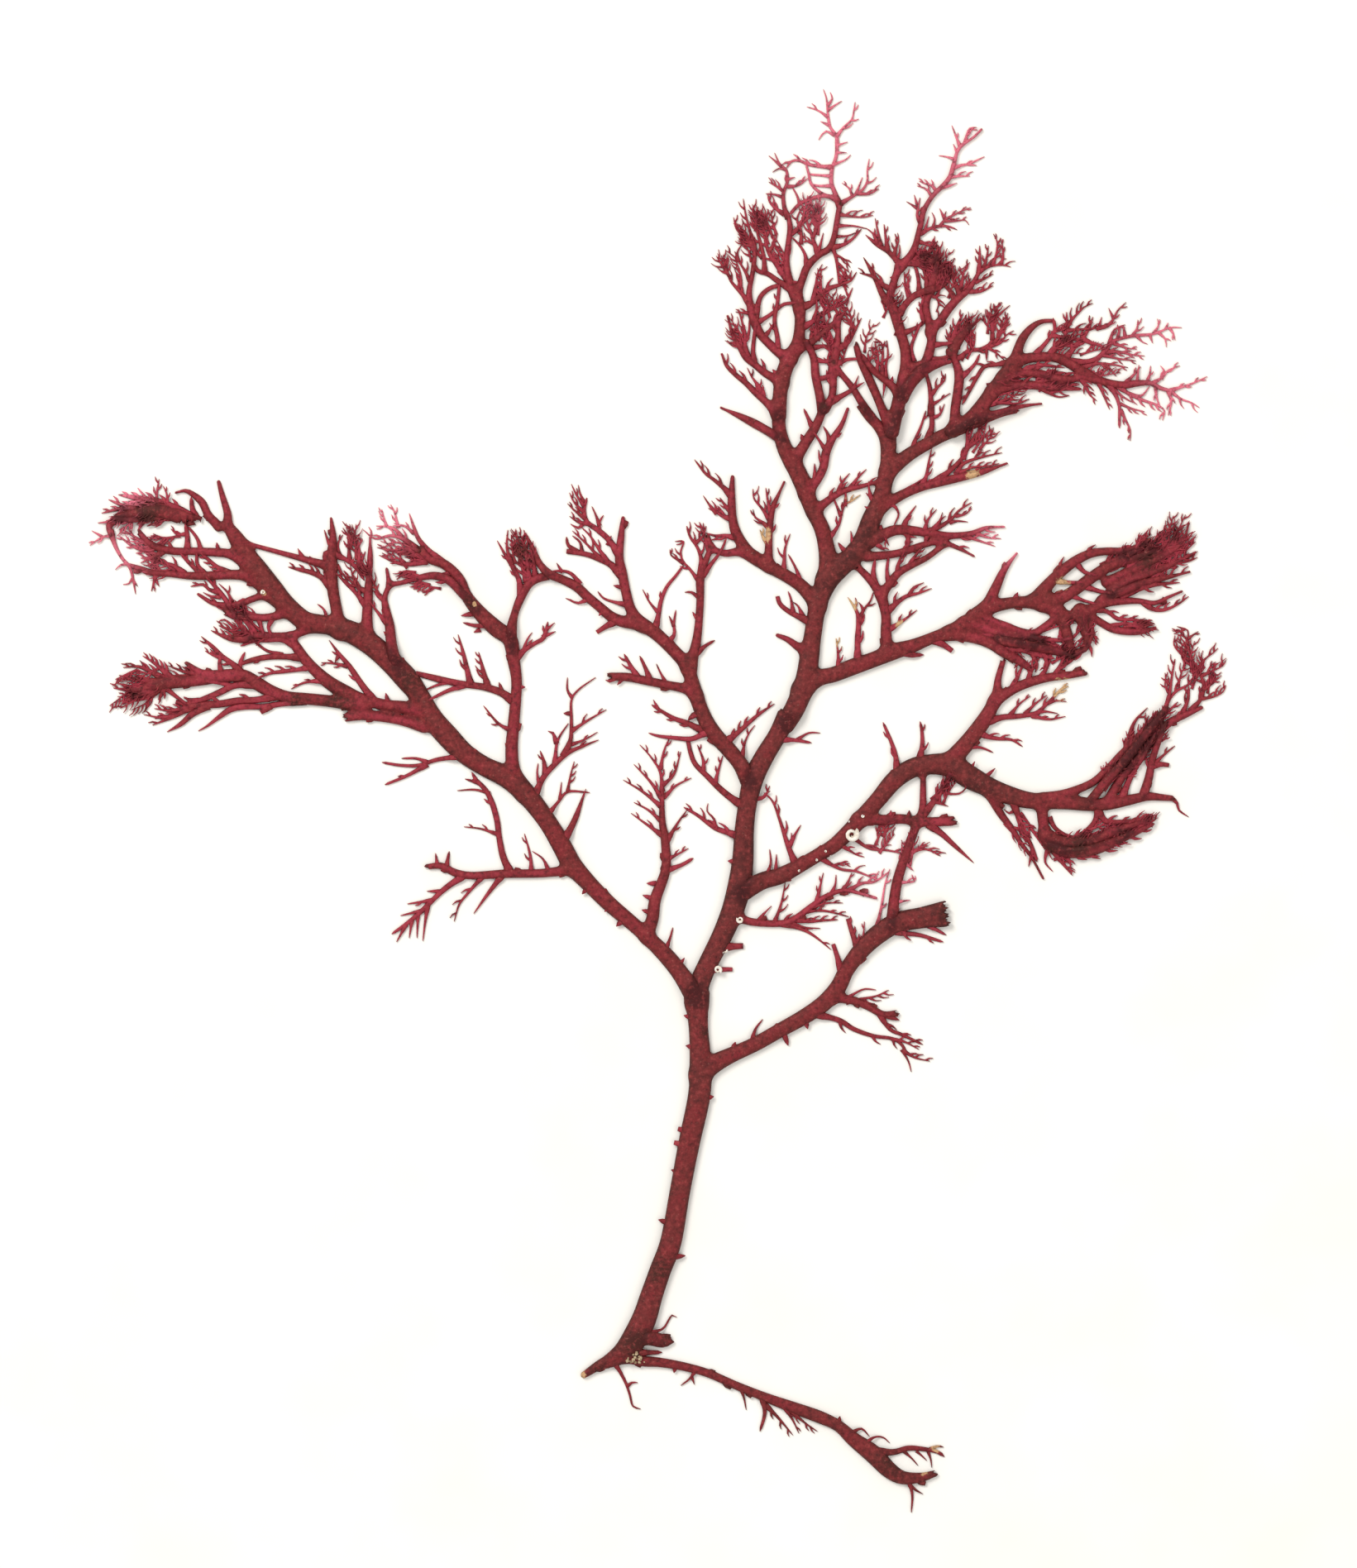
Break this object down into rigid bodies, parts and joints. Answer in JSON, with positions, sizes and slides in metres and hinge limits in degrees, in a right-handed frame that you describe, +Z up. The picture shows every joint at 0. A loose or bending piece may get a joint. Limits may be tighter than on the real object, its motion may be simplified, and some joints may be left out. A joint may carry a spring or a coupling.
{
  "type": "seaweed frond",
  "caption": "Pressed, dried frond of a red seaweed that lies flat: a stipe with a creeping foot, forked limbs with comb-toothed branchlets, and small coiled tube shells grown on it.",
  "frame": {"origin": "middle of the frond's outline box, on the plane it lies on", "axes": "+Y from the cut foot to the crown, the frond's longest way; +Z up from the surface it lies on; +X to the right seen from above"},
  "size_m": [0.1167, 0.1458, 0.0016],
  "materials": {
    "thallus": "dried, faintly glossy",
    "tube_shell": "chalky"
  },
  "bodies": {
    "root": {"thallus": "thallus", "coiled_shell_large": "tube_shell", "coiled_shell_left": "tube_shell", "coiled_shell_broken": "tube_shell", "coiled_shell_low": "tube_shell"}
  },
  "joints": []
}
